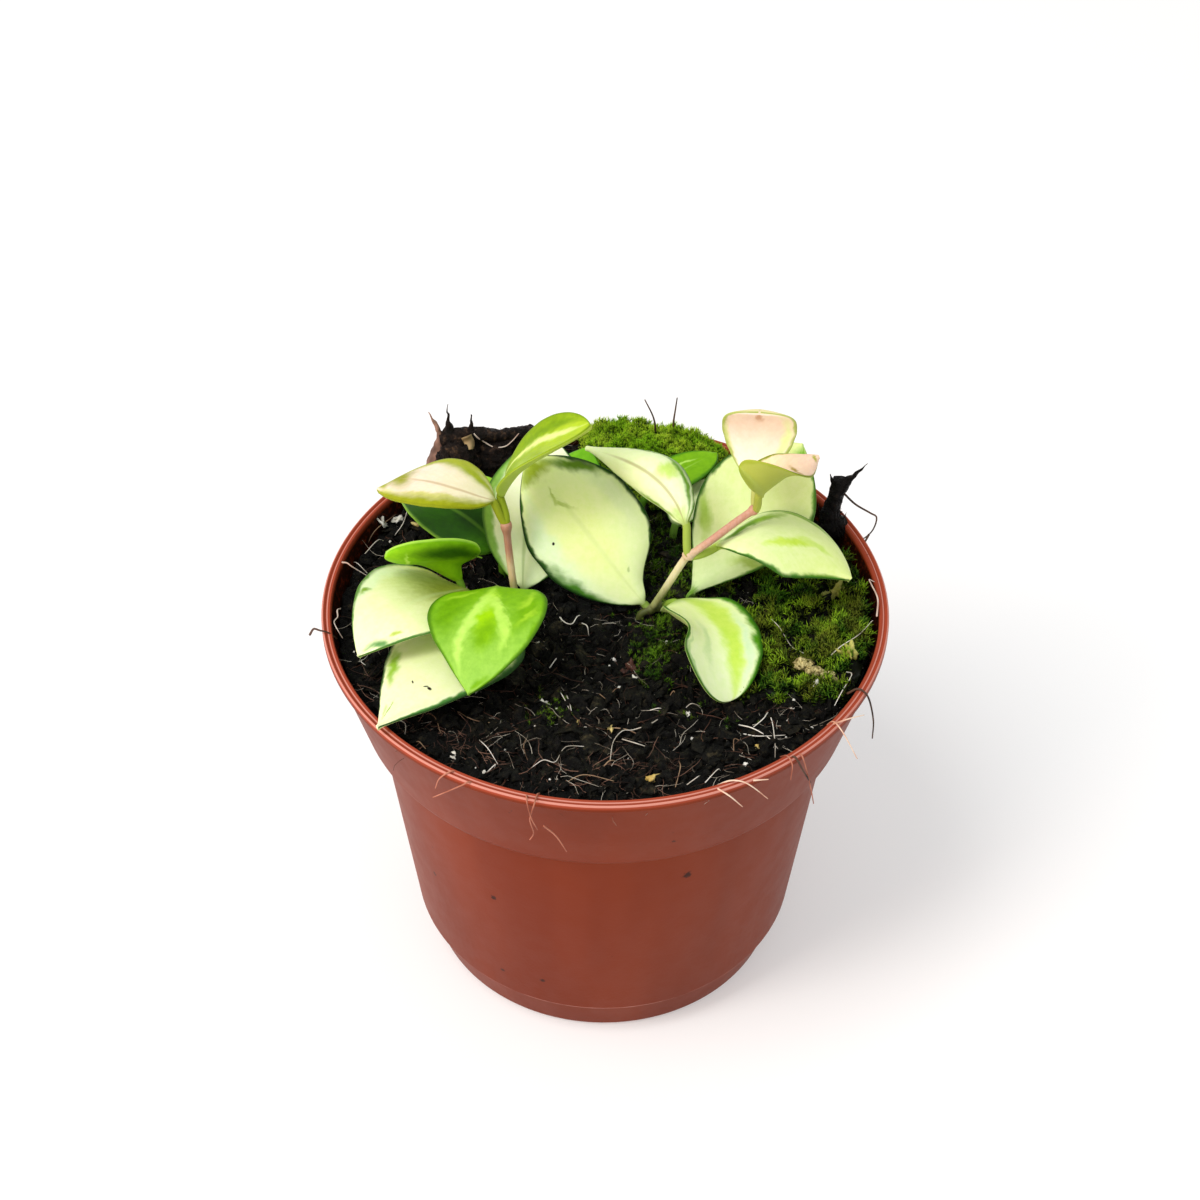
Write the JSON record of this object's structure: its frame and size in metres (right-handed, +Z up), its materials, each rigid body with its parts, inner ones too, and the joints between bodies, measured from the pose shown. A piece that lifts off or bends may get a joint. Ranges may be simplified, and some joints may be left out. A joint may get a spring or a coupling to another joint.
{
  "type": "potted variegated hoya",
  "caption": "Climbing vine with thick variegated cream and green leaves on short shoots, rooted in peat and moss in a round tapered nursery pot.",
  "frame": {"origin": "centre of the pot's foot, on the surface that the pot stands on", "axes": "+Z up, -Y towards the picture's viewer, +X to the viewer's right"},
  "size_m": [0.12, 0.12, 0.134],
  "materials": {
    "terracotta_plastic": "injection moulded plastic in a terracotta brown, satin, brighter at the lip",
    "peat": "damp black peat compost with clods, fine roots and bits of perlite",
    "moss": "low cushions of green moss",
    "bark": "dark broken peat and bark with torn fibres",
    "wood_chip": "pale dry wood chips",
    "stem": "smooth pinkish brown vine stem",
    "leaf_cream": "waxy succulent leaf, cream with green and pink at its margins, satin",
    "leaf_green": "waxy succulent leaf, yellow-green with a paler middle, satin"
  },
  "bodies": {
    "root": {"pot": "terracotta_plastic", "soil": "peat", "moss_mound": "moss", "moss_carpet": "moss", "bark_left": "bark", "bark_right": "bark", "pale_chip": "wood_chip", "stem_left": "stem", "stem_right": "stem", "leaf_a1": "leaf_cream", "leaf_a2": "leaf_green", "leaf_a3": "leaf_cream", "leaf_a4": "leaf_green", "leaf_a5": "leaf_green", "leaf_a6": "leaf_cream", "leaf_a7": "leaf_cream", "leaf_a8": "leaf_green", "leaf_c1": "leaf_cream", "leaf_c2": "leaf_green", "leaf_b1": "leaf_cream", "leaf_b3": "leaf_cream", "leaf_b5": "leaf_cream", "leaf_b6": "leaf_cream", "leaf_b7": "leaf_cream", "leaf_b8": "leaf_green", "leaf_b9": "leaf_cream", "leaf_d1": "leaf_cream"}
  },
  "joints": []
}
